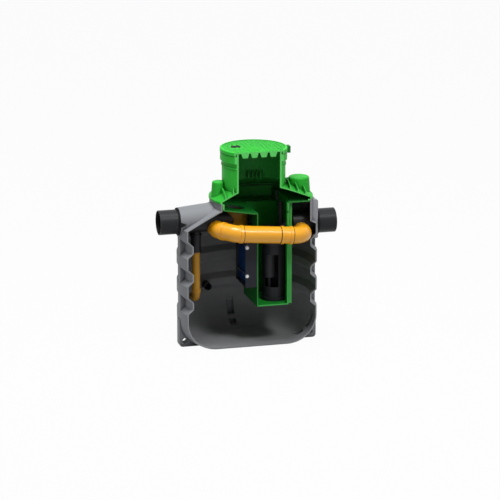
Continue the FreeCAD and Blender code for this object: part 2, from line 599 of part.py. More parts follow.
def collar(x):
    wall = "socketRadius - bypassRadius + bypassWall / 2"
    return pipe("socketRadius", wall, "socketLong", x, "-bypassFront", "0", "x")


flat["bypass_run"] = frontPipe("runLeft", "runRight - runLeft")


rightCorner = "(bypassRight - bypassBend)"
rightTurn = stand(bend("bypassRadius", "bypassWall", "bypassBend", "90"), rightCorner,
                  "-bypassFront + bypassBend", "0", FreeCAD.Rotation(FreeCAD.Vector(0, 0, 1), -90))
rightSpigot = frontPipe("runRight", f"{rightCorner} - runRight")
rightLeg = pipe("bypassRadius", "bypassWall", "bypassFront - bypassBend", "bypassRight",
                "-bypassFront + bypassBend", "0", "y")
rightCap = bar("bypassRadius", "legCap", "bypassRight", "-legCap", "0", "y")
flat["bypass_outlet_elbow"] = fuse(rightTurn, rightSpigot, rightLeg, rightCap, collar("runRight"),
                                   collar(f"{rightCorner} - socketLong"))

halfTurn = "elbowBend * tan(22.5 deg)"
frontTurn = stand(bend("bypassRadius", "bypassWall", "elbowBend", "45"), f"bypassTurn + {halfTurn}",
                  "-bypassFront + elbowBend", "0", FreeCAD.Rotation(FreeCAD.Vector(0, 0, 1), 225))
frontSpigot = frontPipe(f"bypassTurn + {halfTurn}", f"runLeft - bypassTurn - {halfTurn}")

# The slanted link between the two half turns, measured from its front end
slantLong = f"((bypassTurn - bypassLeft) * sqrt(2) - 2 * {halfTurn})"
leanBack = FreeCAD.Rotation(FreeCAD.Vector(1, 1, 0), -90)


def slanted(radius, start, length):
    made = bind(doc.addObject("Part::Cylinder", "link"), Radius=radius, Height=length)
    return stand(made, f"bypassTurn - ({halfTurn} + {start}) / sqrt(2)",
                 f"-bypassFront + ({halfTurn} + {start}) / sqrt(2)", "0", leanBack)


def slantedPipe(radius, inner, start, length):
    return cut(slanted(radius, start, length), slanted(inner, start, length))


flat["bypass_front_elbow"] = fuse(frontTurn, frontSpigot, collar("runLeft - socketLong"),
                                  slantedPipe("bypassRadius", "bypassRadius - bypassWall", "0",
                                              f"{slantLong} - socketLong"))
backCorner = "(-bypassFront + bypassTurn - bypassLeft)"
backTurn = stand(bend("bypassRadius", "bypassWall", "elbowBend", "45"), "bypassLeft + elbowBend",
                 f"{backCorner} + {halfTurn}", "0", FreeCAD.Rotation(FreeCAD.Vector(0, 0, 1), 180))
leftLeg = pipe("bypassRadius", "bypassWall", f"-({backCorner} + {halfTurn})", "bypassLeft",
               f"{backCorner} + {halfTurn}", "0", "y")
leftCap = bar("bypassRadius", "legCap", "bypassLeft", "-legCap", "0", "y")
slantCollar = slantedPipe("socketRadius", "bypassRadius - bypassWall", f"{slantLong} - socketLong",
                          "socketLong")
flat["bypass_back_elbow"] = fuse(slantCollar, backTurn, leftLeg, leftCap)

trims = {"bypass_outlet_elbow": [throats["outlet"]], "bypass_back_elbow": [throats["inlet"]]}
for label, piece in flat.items():
    piece.Placement = FreeCAD.Placement(FreeCAD.Vector(), FreeCAD.Rotation(FreeCAD.Vector(0, 1, 0), 0))
    piece.setExpression("Placement.Rotation.Angle", size("bypassFall * 1 deg"))
    piece.setExpression("Placement.Base.z", size("bypassUp"))
    node(label, cut(piece, *trims.get(label, [])))


# Outlet side: pipe, riser with its branch, and the closing float
outletLong = "pipeReach - bossReach - sealDepth - spigotGap"
outletSpigot = pipe("pipeRadius", "pipeWall", outletLong, f"pipeReach - ({outletLong})", "0", "outletUp", "x")
outletRun = pipe("pipeRadius - spigotStep", "pipeWall - spigotStep",
                 f"pipeReach - ({outletLong}) - outletStart", "outletStart", "0", "outletUp", "x")
outletBypass = bypassLeg("bypassRadius - bypassWall", "bypassRight", "-bypassFront", "bypassFront")
node("outlet_pipe", cut(fuse(outletSpigot, outletRun), outletBypass))

branchLong = "tankRadius"
plug = bar("pipeRadius - pipeWall - seatGap", "plugLong", "outletStart", "0", "outletUp", "x")
plugEnd = box("0", "outletStart + plugLong", "-tankRadius", "tankRadius", "0", "lidTop")
branchPipe = common(rising("branchRadius", branchLong), plugEnd)
teeBody = bar("teeRadius", "teeTop - teeLow", "riserX", "0", "teeLow")
teeRoom = bar("riserRadius + seatGap", "riserTop - teeLow + seatGap", "riserX", "0", "teeLow")
branchBore = rising("branchRadius - branchWall", branchLong)
node("riser_tee", cut(fuse(teeBody, branchPipe, plug), teeRoom, branchBore))
riserTube = pipe("riserRadius", "riserWall", "riserTop - riserSeat", "riserX", "0", "riserSeat")
riserWindow = box("windowX - windowHalf", "windowX + windowHalf", "-2 * riserRadius", "0",
                  "windowLow", "windowTop")
node("riser", cut(riserTube, branchBore, riserWindow))
riserFoot = bar("baseRadius", "riserSeat - wellBottom - greenWall", "riserX", "0", "wellBottom + greenWall")
node("riser_base", cut(riserFoot, bar("seatBore", "riserSeat", "floatX")))
floatProfile = [("0", "riserSeat"), ("valveRadius", "riserSeat"), ("valveRadius", "riserSeat + valveTall"),
                ("stemRadius", "riserSeat + valveTall"), ("stemRadius", "floatLow"),
                ("floatRadius - floatRing", "floatLow"), ("floatRadius", "floatLow + floatRing"),
                ("floatRadius", "floatTop - floatRing"), ("floatRadius - floatRing", "floatTop"),
                ("0", "floatTop")]
node("float", turned(floatProfile, x="floatX"))
liftTube = bar("liftRadius", "liftTop - teeTop", "liftX", "0", "teeTop")
node("lifting_rod", cut(liftTube, rising("branchRadius + seatGap", branchLong)))


# Build, check and write every piece
doc.recompute()
for thing in doc.Objects:
    if "Invalid" in thing.State or "Error" in thing.State:
        raise RuntimeError(f"{thing.Label} did not build: {thing.State}")
os.makedirs("parts", exist_ok=True)
for thing in nodes:
    if thing.Shape.isNull() or not thing.Shape.isValid() or thing.Shape.Volume <= 0:
        raise RuntimeError(f"{thing.Label} is not a valid solid")
    thing.Shape.exportStep(f"parts/{thing.Label}.step")
    print(thing.Label, len(thing.Shape.Solids), round(thing.Shape.Volume / 1000), "cm3")
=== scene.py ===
import math

import bpy
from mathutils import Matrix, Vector


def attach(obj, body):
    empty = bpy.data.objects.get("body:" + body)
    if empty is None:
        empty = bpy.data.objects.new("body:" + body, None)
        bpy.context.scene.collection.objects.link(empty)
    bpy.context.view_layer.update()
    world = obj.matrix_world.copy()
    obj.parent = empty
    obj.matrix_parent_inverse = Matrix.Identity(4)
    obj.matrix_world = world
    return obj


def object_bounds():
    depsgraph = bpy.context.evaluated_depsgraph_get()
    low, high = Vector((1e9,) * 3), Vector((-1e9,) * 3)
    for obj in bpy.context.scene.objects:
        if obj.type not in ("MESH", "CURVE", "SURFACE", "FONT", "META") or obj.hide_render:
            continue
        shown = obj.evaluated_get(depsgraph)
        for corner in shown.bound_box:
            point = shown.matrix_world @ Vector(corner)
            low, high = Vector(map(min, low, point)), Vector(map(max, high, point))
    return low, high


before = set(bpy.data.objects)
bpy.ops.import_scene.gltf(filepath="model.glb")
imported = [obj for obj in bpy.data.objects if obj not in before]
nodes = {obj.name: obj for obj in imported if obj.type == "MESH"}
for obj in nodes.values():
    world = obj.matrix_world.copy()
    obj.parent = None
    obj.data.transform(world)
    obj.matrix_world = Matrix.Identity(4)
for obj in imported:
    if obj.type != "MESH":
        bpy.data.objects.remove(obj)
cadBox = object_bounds()
print("frame loaded:", len(nodes), "nodes")


def span(name, axis):
    # Lowest and highest place of a CAD piece along X, Y or Z
    places = [vertex.co[axis] for vertex in nodes[name].data.vertices]
    return min(places), max(places)


cutY = span("neck", 1)[0]  # the front is sawn away here
neckX = sum(span("neck", 0)) / 2  # upright axis of the neck and the lid
skirtX = sum(span("skirt", 0)) / 2  # upright axis of the skirt


# Small helpers
def linear(hexText):
    # sRGB hex to linear, the way the shader sockets want it
    parts = [int(hexText[i:i + 2], 16) / 255 for i in (1, 3, 5)]
    return [c / 12.92 if c <= 0.04045 else ((c + 0.055) / 1.055) ** 2.4 for c in parts] + [1.0]


def joinTo(material, source, socket):
    # A node stands for the one output that it has in use
    if isinstance(source, bpy.types.Node):
        source = next(output for output in source.outputs if output.enabled)
    material.node_tree.links.new(source, socket)


def addNode(material, kind, links=None, **settings):
    made = material.node_tree.nodes.new("ShaderNode" + kind)
    for name, setting in settings.items():
        setattr(made, name, setting)
    for socket, source in (links or {}).items():
        if isinstance(source, (bpy.types.Node, bpy.types.NodeSocket)):
            joinTo(material, source, made.inputs[socket])
        else:
            made.inputs[socket].default_value = source
    return made


def newMaterial(name, roughness, ior=1.5, specular=0.5):
    material = bpy.data.materials.new(name)
    material.use_nodes = True
    shader = material.node_tree.nodes["Principled BSDF"]
    shader.inputs["Roughness"].default_value = roughness
    shader.inputs["IOR"].default_value = ior
    shader.inputs["Specular IOR Level"].default_value = specular
    return material, shader


samples = dict(edge=6, corner=8)  # rays for rounded edges and for dark corners


def surface(material, shader, colour, height, depthMm, strength, edgeMm):
    # Colour, relief and a small rounding of every edge
    soft = addNode(material, "Bevel", {"Radius": edgeMm / 1000}, samples=samples["edge"])
    bump = addNode(material, "Bump", {"Height": height, "Strength": strength, "Distance": depthMm / 1000,
                                      "Normal": soft})
    joinTo(material, colour, shader.inputs["Base Color"])
    joinTo(material, bump, shader.inputs["Normal"])


def paint(material, *names):
    for name in names:
        slots = nodes[name].data.materials
        slots.clear()
        slots.append(material)
        for face in nodes[name].data.polygons:
            face.material_index = 0


# Camera at the photo's angle, with a long lens
camera = dict(azimuth=-15, elevation=15, aim=(0.022, 0, 0.613), width=3.255, lens=205, sensor=36,
              farthest=100)

turn, rise = math.radians(camera["azimuth"]), math.radians(camera["elevation"])
away = Vector((math.sin(turn) * math.cos(rise), -math.cos(turn) * math.cos(rise), math.sin(rise)))
distance = camera["width"] * camera["lens"] / camera["sensor"]
bpy.ops.object.camera_add(location=Vector(camera["aim"]) + away * distance)
eye = bpy.context.object
eye.name = "camera"
eye.data.lens = camera["lens"]
eye.data.sensor_width = camera["sensor"]
eye.data.clip_end = camera["farthest"]
eye.rotation_euler = (-away).to_track_quat("-Z", "Y").to_euler()
bpy.context.scene.camera = eye
bpy.context.scene.view_settings.view_transform = "Standard"
print("camera placed")


# One large soft light from above, and a front light whose highlight runs along the bypass
lamps = [
    dict(name="overheadLamp", at=(-1.2, -0.9, 8.8), size=4.5, power=680),
    dict(name="frontLamp", at=(1.5, -3.6, 5.5), size=1.2, power=130),
]
lampAim = Vector((0, 0, 0.6))  # about the middle of the tank

for lamp in lamps:
    bpy.ops.object.light_add(type="AREA", location=lamp["at"])
    light = bpy.context.object
    light.name = lamp["name"]
    light.data.size = lamp["size"]
    light.data.energy = lamp["power"]
    light.rotation_euler = (lampAim - light.location).to_track_quat("-Z", "Y").to_euler()

# The room is white where the camera or a reflection looks at it, and dim where it only lights
room = dict(background="#ffffff", ambient=0.14, floor="#c4c4c4", floorRough=0.9, floorSize=60,
            floorGlow=0.96)


def lookedAt(owner):
    # 1 for a ray from the camera, from a reflection or through clear stuff, and 0 for the rest
    rays = addNode(owner, "LightPath").outputs
    mirrored = addNode(owner, "Math", {0: rays["Is Glossy Ray"], 1: rays["Is Transmission Ray"]},
                       operation="MAXIMUM")
    return addNode(owner, "Math", {0: rays["Is Camera Ray"], 1: mirrored}, operation="MAXIMUM")


world = bpy.data.worlds.new("whiteRoom")
world.use_nodes = True
bpy.context.scene.world = world
sky = world.node_tree.nodes["Background"]
sky.inputs["Color"].default_value = linear(room["background"])
strength = addNode(world, "MapRange", {"Value": lookedAt(world), "To Min": room["ambient"], "To Max": 1.0})
joinTo(world, strength.outputs["Result"], sky.inputs["Strength"])

# The floor glows a little less than fully, so that the shadow stays
bpy.ops.mesh.primitive_plane_add(size=room["floorSize"], location=(0, 0, cadBox[0][2]))
floor = bpy.context.object
floor.name = "floor"
floorPaint, floorShader = newMaterial("paleFloor", room["floorRough"])
floorShader.inputs["Base Color"].default_value = linear(room["floor"])
floorLight = addNode(floorPaint, "Emission", {"Color": linear(room["background"]), "Strength": 1.0})
floorSeen = addNode(floorPaint, "Math", {0: lookedAt(floorPaint), 1: room["floorGlow"]},
                    operation="MULTIPLY")
floorMix = addNode(floorPaint, "MixShader", {0: floorSeen, 1: floorShader, 2: floorLight})
joinTo(floorPaint, floorMix, floorPaint.node_tree.nodes["Material Output"].inputs[0])
floor.data.materials.append(floorPaint)
print("light and floor placed")


# Moulded polyethylene gives a soft satin sheen, an orange peel from the mould and slightly uneven
# colour. The peel is drawn coarser than the real one, which is too fine to show. The inside of a
# wall and a sawn edge are painted apart from the outside: most insides are painted darker, as
# painted shade, the tank's inside a little lighter, as painted light, and sawn edges paler, as
# painted light on the cut.
peel = dict(grainMm=5, grainDetail=2.0, depthMm=0.25, strength=0.35, patchMm=140, patchDetail=3.0,
            patchFrom=(0.3, 0.7), patchShade=0.06, cornerMm=35, cornerFrom=(0.25, 0.85), cornerPaintedShade=0.35,
            roughness=0.48, ior=1.51, specular=0.12, edgeMm=3)
sides = dict(inward=-0.004, upward=0.05, forward=-0.95)  # how a face of each kind has to lean
sawnFace = cutY + 0.001  # just behind the cut
baseFloor = span("tank_base", 2)[1] + 0.001  # just above the base
noFloor = -1
wellX, wellFace = 0.13, -0.11  # upright axis of the well, and a place behind its sawn edges
# Each look gives the outside colour, an inside colour and a sawn colour. The inside colour is painted shade,
# except the tank's, which is painted light; the sawn colour is painted light.
tankLook = dict(outside="#888a8e", inside="#929396", sawn="#9b9ea1",
                axisX=0.0, floorUnder=baseFloor, sawnAt=sawnFace)
postLook = dict(outside="#888a8e", inside="#888a8e", sawn="#9b9ea1",
                axisX=0.0, floorUnder=noFloor, sawnAt=sawnFace)
# The outlet hood is the tank's grey painted lighter outside, as painted light, and darker inside, as painted
# shade
litHoodLook = dict(outside="#a6a8ac", inside="#7c7d80", sawn="#9b9ea1",
                axisX=0.0, floorUnder=noFloor, sawnAt=sawnFace)
insertLook = dict(outside="#38c53f", inside="#329a41", sawn="#66dc6d",
                  axisX=neckX, floorUnder=noFloor, sawnAt=sawnFace)
# The skirt is the insert's green painted darker, as painted shade
shadedSkirtLook = dict(outside="#2fae36", inside="#329a41", sawn="#66dc6d",
                 axisX=neckX, floorUnder=noFloor, sawnAt=sawnFace)
# The stubs are the insert's green painted darker, as painted shade
shadedStubLook = dict(outside="#31b238", inside="#31b238", sawn="#66dc6d",
                axisX=0.0, floorUnder=noFloor, sawnAt=sawnFace)
# The dish is the insert's green painted much darker, as painted shade, with a duller sawn edge, as painted
# shade under the bypass and the neck
shadedDishLook = dict(outside="#156624", inside="#156624", sawn="#37863f",
                axisX=wellX, floorUnder=noFloor, sawnAt=wellFace)
# The well is the insert's green painted darker, as painted shade inside the tank
shadedWellLook = dict(outside="#1e9030", inside="#1e9030", sawn="#4fb85a",
                axisX=wellX, floorUnder=noFloor, sawnAt=wellFace)


def mouldedPlastic(name, look):
    material, shader = newMaterial(name, peel["roughness"], peel["ior"], peel["specular"])
    place = addNode(material, "TexCoord").outputs["Object"]
    facing = addNode(material, "NewGeometry").outputs["Normal"]
    spot = addNode(material, "SeparateXYZ", {0: place})
    slope = addNode(material, "SeparateXYZ", {0: facing})

    # Inside: the face looks towards the upright axis, or it is the floor of the base; it gets the painted
    # inside colour, which is painted shade, and painted light for the tank
    fromAxis = addNode(material, "VectorMath", {0: place, 1: (look["axisX"], 0, 0)}, operation="SUBTRACT")
    level = addNode(material, "VectorMath", {0: fromAxis, 1: (1, 1, 0)}, operation="MULTIPLY")
    outward = addNode(material, "VectorMath", {0: level, 1: facing}, operation="DOT_PRODUCT")
    inward = addNode(material, "Math", {0: outward, 1: sides["inward"]}, operation="LESS_THAN")
    low = addNode(material, "Math", {0: spot.outputs["Z"], 1: look["floorUnder"]}, operation="LESS_THAN")
    upward = addNode(material, "Math", {0: slope.outputs["Z"], 1: sides["upward"]},
                     operation="GREATER_THAN")
    onFloor = addNode(material, "Math", {0: low, 1: upward}, operation="MULTIPLY")
    within = addNode(material, "Math", {0: inward, 1: onFloor}, operation="MAXIMUM")

    # Sawn: the face looks to the front and lies at the cut; it gets a paler colour, as painted light
    forward = addNode(material, "Math", {0: slope.outputs["Y"], 1: sides["forward"]}, operation="LESS_THAN")
    atCut = addNode(material, "Math", {0: spot.outputs["Y"], 1: look["sawnAt"]}, operation="LESS_THAN")
    sawn = addNode(material, "Math", {0: forward, 1: atCut}, operation="MULTIPLY")

    # The outside colour, with the painted inside colour and the painted light of the sawn edge laid over it
    wall = addNode(material, "Mix", {0: within, 6: linear(look["outside"]), 7: linear(look["inside"])},
                   data_type="RGBA")
    colour = addNode(material, "Mix", {0: sawn, 6: wall, 7: linear(look["sawn"])}, data_type="RGBA")

    # Uneven patches, and corners painted darker as painted shade
    patches = addNode(material, "TexNoise", {"Vector": place, "Scale": 1000 / peel["patchMm"],
                                             "Detail": peel["patchDetail"]})
    least, most = peel["patchFrom"]
    shade = addNode(material, "MapRange", {"Value": patches, "From Min": least, "From Max": most,
                                           "To Min": 1 - peel["patchShade"], "To Max": 1.0})
    uneven = addNode(material, "Mix", {0: 1.0, 6: colour, 7: shade}, data_type="RGBA", blend_type="MULTIPLY")
    # The corner darkening is painted shade, stronger where a point is less open to its surroundings
    openness = addNode(material, "AmbientOcclusion", {"Distance": peel["cornerMm"] / 1000},
                       samples=samples["corner"])
    least, most = peel["cornerFrom"]
    corner = addNode(material, "MapRange", {"Value": openness.outputs["AO"], "From Min": least,
                                            "From Max": most, "To Min": peel["cornerPaintedShade"], "To Max": 1.0})
    shaded = addNode(material, "Mix", {0: 1.0, 6: uneven, 7: corner}, data_type="RGBA", blend_type="MULTIPLY")
    grain = addNode(material, "TexNoise", {"Vector": place, "Scale": 1000 / peel["grainMm"],
                                           "Detail": peel["grainDetail"]})
    surface(material, shader, shaded, grain, peel["depthMm"], peel["strength"], peel["edgeMm"])
    return material


tankPlastic = mouldedPlastic("greyMouldedPolyethylene", tankLook)
paint(tankPlastic, "tank_base", "tank_wall_right", "tank_wall_back", "tank_wall_left", "tank_shoulder",
      "tank_collar", "inlet_hood")
# Outlet hood: the tank's plastic with painted light on its outside
litHoodPlastic = mouldedPlastic("greyHoodPolyethylenePaintedLight", litHoodLook)
paint(litHoodPlastic, "outlet_hood")
postPlastic = mouldedPlastic("greyPostPolyethylene", postLook)
paint(postPlastic, "right_post", "back_post", "left_post")
insertPlastic = mouldedPlastic("greenMouldedPolyethylene", insertLook)
paint(insertPlastic, "neck", "lid", "dish_rim")
# Skirt and stubs: darker copies of the insert's green, as painted shade
shadedSkirtPlastic = mouldedPlastic("greenSkirtPolyethylenePaintedShade", shadedSkirtLook)
paint(shadedSkirtPlastic, "skirt")
shadedStubPlastic = mouldedPlastic("greenStubPolyethylenePaintedShade", shadedStubLook)
paint(shadedStubPlastic, "vent_stub", "cable_stub")
# Well and dish: darker copies of the insert's green, as painted shade
shadedWellPlastic = mouldedPlastic("greenWellPolyethylenePaintedShade", shadedWellLook)
paint(shadedWellPlastic, "well_back_wall", "well_right_wall", "well_floor")
shadedDishPlastic = mouldedPlastic("greenDishPolyethylenePaintedShade", shadedDishLook)
paint(shadedDishPlastic, "dish_floor", "well_left_wall")


# Extruded pipe plastic gives faint lines along the pipe and a highlight drawn out along it. The
# lines are drawn coarser than the real ones, which are too fine to show.
pipeFinish = dict(ior=1.53, detail=3.0, strength=0.2)
blackPipeLook = dict(colour="#1f2022", streak="#27282b", roughness=0.38, specular=0.16,
                     streakMm=6, depthMm=0.3, edgeMm=1.5, along=(0.05, 1, 1))
yellowPipeLook = dict(colour="#f4ab1e", streak="#eda51a", roughness=0.27, specular=0.5,
                      streakMm=9, depthMm=0.06, edgeMm=1.5, along=(0.1, 1, 1))
# The drop pipe and the inlet tube are the bypass's yellow plastic painted duller and browner, as painted
# shade where they stand in the tank's shadow
shadedDropLook = dict(colour="#bd8b30", streak="#b3822a", roughness=0.4, specular=0.2,
                streakMm=9, depthMm=0.3, edgeMm=1.5, along=(1, 1, 0.1))
shadedTubeLook = dict(colour="#7a6418", streak="#6f5a14", roughness=0.35, specular=0.2,
                streakMm=9, depthMm=0.3, edgeMm=1.5, along=(1, 1, 0.1))
riserLook = dict(colour="#26272a", streak="#2e2f33", roughness=0.5, specular=0.12,
                 streakMm=12, depthMm=0.3, edgeMm=2, along=(1, 1, 0.1))
floatLook = dict(colour="#3a3b3e", streak="#424347", roughness=0.45, specular=0.12,
                 streakMm=12, depthMm=0.3, edgeMm=2, along=(1, 1, 0.1))


def pipePlastic(name, look):
    material, shader = newMaterial(name, look["roughness"], pipeFinish["ior"], look["specular"])
    place = addNode(material, "TexCoord").outputs["Object"]
    drawn = addNode(material, "Mapping", {"Vector": place, "Scale": look["along"]})
    streaks = addNode(material, "TexNoise", {"Vector": drawn, "Scale": 1000 / look["streakMm"],
                                             "Detail": pipeFinish["detail"]})
    colour = addNode(material, "Mix", {0: streaks, 6: linear(look["colour"]), 7: linear(look["streak"])},
                     data_type="RGBA")
    surface(material, shader, colour, streaks, look["depthMm"], pipeFinish["strength"], look["edgeMm"])
    return material


blackPipe = pipePlastic("blackExtrudedPolyethylene", blackPipeLook)
paint(blackPipe, "inlet_pipe", "outlet_pipe", "back_stub", "drop_sleeve")
yellowPipe = pipePlastic("yellowPipePolypropylene", yellowPipeLook)
paint(yellowPipe, "bypass_run", "bypass_outlet_elbow", "bypass_front_elbow", "bypass_back_elbow")
# Drop pipe and inlet tube: darker copies of the yellow pipe, as painted shade
shadedDropPlastic = pipePlastic("yellowDropPolypropylenePaintedShade", shadedDropLook)
paint(shadedDropPlastic, "drop_pipe", "drop_elbow")
shadedTubePipe = pipePlastic("yellowTubePolypropylenePaintedShade", shadedTubeLook)
paint(shadedTubePipe, "inlet_tube")
riserPlastic = pipePlastic("greyRiserPolypropylene", riserLook)
paint(riserPlastic, "riser", "riser_tee", "riser_base", "lifting_rod")
floatPlastic = pipePlastic("greyFloatPolypropylene", floatLook)
paint(floatPlastic, "float")


# Small stuffs, each with a fine grain of its own size, which shows only from close by
grainFinish = dict(ior=1.5, specular=0.1, detail=3.0, strength=0.4)
grainyLooks = [
    # Soft rubber gives a dull black with a faint bloom
    dict(name="blackSealRubber", nodes=("inlet_seal", "outlet_seal"), colour="#1b1b1c", pale="#262627",
         roughness=0.7, grainMm=1.5, depthMm=0.15, edgeMm=1.5),
    # Nylon gives a dull dark colour with a very fine grain
    dict(name="darkLatchNylon", nodes=("lid_latch",), colour="#23702c", pale="#2a7d34",
         roughness=0.4, grainMm=1.0, depthMm=0.1, edgeMm=2),
    dict(name="blackKeyNylon", nodes=(), colour="#0b0f0b", pale="#121812",
         roughness=0.6, grainMm=1.0, depthMm=0.1, edgeMm=1),
    # Plate plastic gives a flat dark grey with a milled grain
    dict(name="greyPlatePolypropylene", nodes=("filter_frame",), colour="#2a2c32", pale="#32343b",
         roughness=0.5, grainMm=3.0, depthMm=0.2, edgeMm=1.5),
]


def grainyStuff(look):
    material, shader = newMaterial(look["name"], look["roughness"], grainFinish["ior"],
                                   grainFinish["specular"])
    place = addNode(material, "TexCoord").outputs["Object"]
    grain = addNode(material, "TexNoise", {"Vector": place, "Scale": 1000 / look["grainMm"],
                                           "Detail": grainFinish["detail"]})
    colour = addNode(material, "Mix", {0: grain, 6: linear(look["colour"]), 7: linear(look["pale"])},
                     data_type="RGBA")
    surface(material, shader, colour, grain, look["depthMm"], grainFinish["strength"], look["edgeMm"])
    paint(material, *look["nodes"])
    return material


grainy = {look["name"]: grainyStuff(look) for look in grainyLooks}

# Open foam gives a dark blue full of small black cells, drawn coarse enough to show
foamLook = dict(strut="#1a4a8c", cell="#0a2348", cellMm=6, strutWide=0.25, depthMm=3, strength=0.8,
                roughness=0.9, ior=1.5, specular=0.1, edgeMm=3)

foam, foamShader = newMaterial("navyOpenFoam", foamLook["roughness"], foamLook["ior"], foamLook["specular"])
foamPlace = addNode(foam, "TexCoord").outputs["Object"]
cells = addNode(foam, "TexVoronoi", {"Vector": foamPlace, "Scale": 1000 / foamLook["cellMm"]},
                feature="DISTANCE_TO_EDGE")
struts = addNode(foam, "MapRange", {"Value": cells.outputs["Distance"], "From Max": foamLook["strutWide"],
                                    "To Min": 1.0, "To Max": 0.0})
foamColour = addNode(foam, "Mix", {0: struts, 6: linear(foamLook["cell"]), 7: linear(foamLook["strut"])},
                     data_type="RGBA")
surface(foam, foamShader, foamColour, struts, foamLook["depthMm"], foamLook["strength"], foamLook["edgeMm"])
paint(foam, "filter_foam")

# Zinc-plated rod gives a dull metal line between two white nylon nuts. The front nut starts in
# front of its washer, the back one at the back of the plates.
rodLook = dict(zinc="#8b8f94", nut="#fcfdfe", frontNut=cutY - 0.0018,
               backNut=span("filter_frame", 1)[1] - 0.0005, roughness=0.4, grainMm=2, depthMm=0.1,
               strength=0.3, edgeMm=1)

rodStuff, rodShader = newMaterial("zincRodWithNylonNuts", rodLook["roughness"])
rodPlace = addNode(rodStuff, "TexCoord").outputs["Object"]
rodSpot = addNode(rodStuff, "SeparateXYZ", {0: rodPlace})
atFront = addNode(rodStuff, "Math", {0: rodSpot.outputs["Y"], 1: rodLook["frontNut"]}, operation="LESS_THAN")
atBack = addNode(rodStuff, "Math", {0: rodSpot.outputs["Y"], 1: rodLook["backNut"]}, operation="GREATER_THAN")
onNut = addNode(rodStuff, "Math", {0: atFront, 1: atBack}, operation="MAXIMUM")
bare = addNode(rodStuff, "Math", {0: 1.0, 1: onNut}, operation="SUBTRACT")
rodGrain = addNode(rodStuff, "TexNoise", {"Vector": rodPlace, "Scale": 1000 / rodLook["grainMm"]})
rodColour = addNode(rodStuff, "Mix", {0: onNut, 6: linear(rodLook["zinc"]), 7: linear(rodLook["nut"])},
                    data_type="RGBA")
joinTo(rodStuff, bare, rodShader.inputs["Metallic"])
surface(rodStuff, rodShader, rodColour, rodGrain, rodLook["depthMm"], rodLook["strength"], rodLook["edgeMm"])
paint(rodStuff, "filter_rod_upper", "filter_rod_lower")
print("materials given")


# Pieces that only the picture needs
def startPiece(name, primitive, **settings):
    bpy.ops.object.select_all(action="DESELECT")
    primitive(location=(0, 0, 0), **settings)
    piece = bpy.context.object
    piece.name = name
    return piece


def pickOnly(piece):
    bpy.ops.object.select_all(action="DESELECT")
    piece.select_set(True)
    bpy.context.view_layer.objects.active = piece


def applied(piece, kind, **settings):
    bpy.context.view_layer.objects.active = piece
    bpy.ops.object.modifier_add(type=kind)
    modifier = piece.modifiers[-1]
    for name, setting in settings.items():
        setattr(modifier, name, setting)
    bpy.ops.object.modifier_apply(modifier=modifier.name)


def rounded(piece, width):
    applied(piece, "BEVEL", width=width, segments=2, limit_method="ANGLE")


def copied(piece, name):
    pickOnly(piece)
    bpy.ops.object.duplicate(linked=False)
    twin = bpy.context.object
    twin.name = name
    return twin


def settle(piece, at, turned=(0, 0, 0)):
    # Turned and moved in the mesh, so that the piece itself stays at the origin
    piece.rotation_euler = turned
    piece.location = at
    bpy.context.view_layer.update()
    pickOnly(piece)
    bpy.ops.object.transform_apply(location=True, rotation=True, scale=True)


def halved(piece, keepBehind):
    # Sawn off in front, like the tank
    bpy.context.view_layer.objects.active = piece
    bpy.ops.object.mode_set(mode="EDIT")
    bpy.ops.mesh.select_all(action="SELECT")
    bpy.ops.mesh.bisect(plane_co=(0, keepBehind, 0), plane_no=(0, -1, 0), use_fill=True, clear_outer=True)
    bpy.ops.object.mode_set(mode="OBJECT")


smoothUnder = math.radians(35)  # a sharper edge than this stays an edge


def finished(piece, material):
    piece.data.materials.clear()
    piece.data.materials.append(material)
    pickOnly(piece)
    bpy.ops.object.shade_smooth_by_angle(angle=smoothUnder)
    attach(piece, "root")


ringSides, ringEdge = 96, 0.3  # the edge is a share of the smaller side


def flatRing(name, radius, wide, thick):
    # A band with rounded edges, standing out from the radius
    ring = startPiece(name, bpy.ops.mesh.primitive_cylinder_add, vertices=ringSides, radius=radius,
                      depth=wide, end_fill_type="NOTHING")
    applied(ring, "SOLIDIFY", thickness=thick, offset=1.0, use_even_offset=True)
    rounded(ring, min(wide, thick) * ringEdge)
    return ring


# Rubber lips at the mouths of the bypass sockets, which follow the pipe's fall. The slanted link
# has a collar of the same shape in the pipe's own plastic.
lips = dict(radius=0.0551, wide=0.004, thick=0.0028, up=0.773, front=sum(span("bypass_run", 1)) / 2,
            fall=math.radians(5), along=(-0.084, 0.165, 0.248), slant=math.radians(45), slantAlong=-0.1870,
            slantY=-0.1530)


def onBypass(along, y):
    # A place on the falling axis, as far along it as given
    return along * math.cos(lips["fall"]), y, lips["up"] - along * math.sin(lips["fall"])


slantLip = flatRing("bypassSlantLip", lips["radius"], lips["wide"], lips["thick"])
for number, along in enumerate(lips["along"]):
    lip = copied(slantLip, f"bypassLip{number}")
    settle(lip, onBypass(along, lips["front"]), (0, math.pi / 2 + lips["fall"], 0))
    finished(lip, grainy["blackSealRubber"])
settle(slantLip, (0, 0, 0), (math.pi / 2, 0, lips["slant"]))
settle(slantLip, onBypass(lips["slantAlong"], lips["slantY"]), (0, lips["fall"], 0))
finished(slantLip, yellowPipe)

# Black rubber ring in the slit between the lid and the neck, sawn like both: a dark ring put there as painted
# shadow under the lid's rim
lidShadow = dict(radius=0.2035, wide=0.0036, thick=0.0125, centre=(neckX, 0, 1.275), sawnAt=cutY + 0.0002)

lidShadowRing = flatRing("lidShadowRing", lidShadow["radius"], lidShadow["wide"], lidShadow["thick"])
settle(lidShadowRing, lidShadow["centre"])
halved(lidShadowRing, lidShadow["sawnAt"])
finished(lidShadowRing, grainy["blackSealRubber"])
print("lips and gasket made")


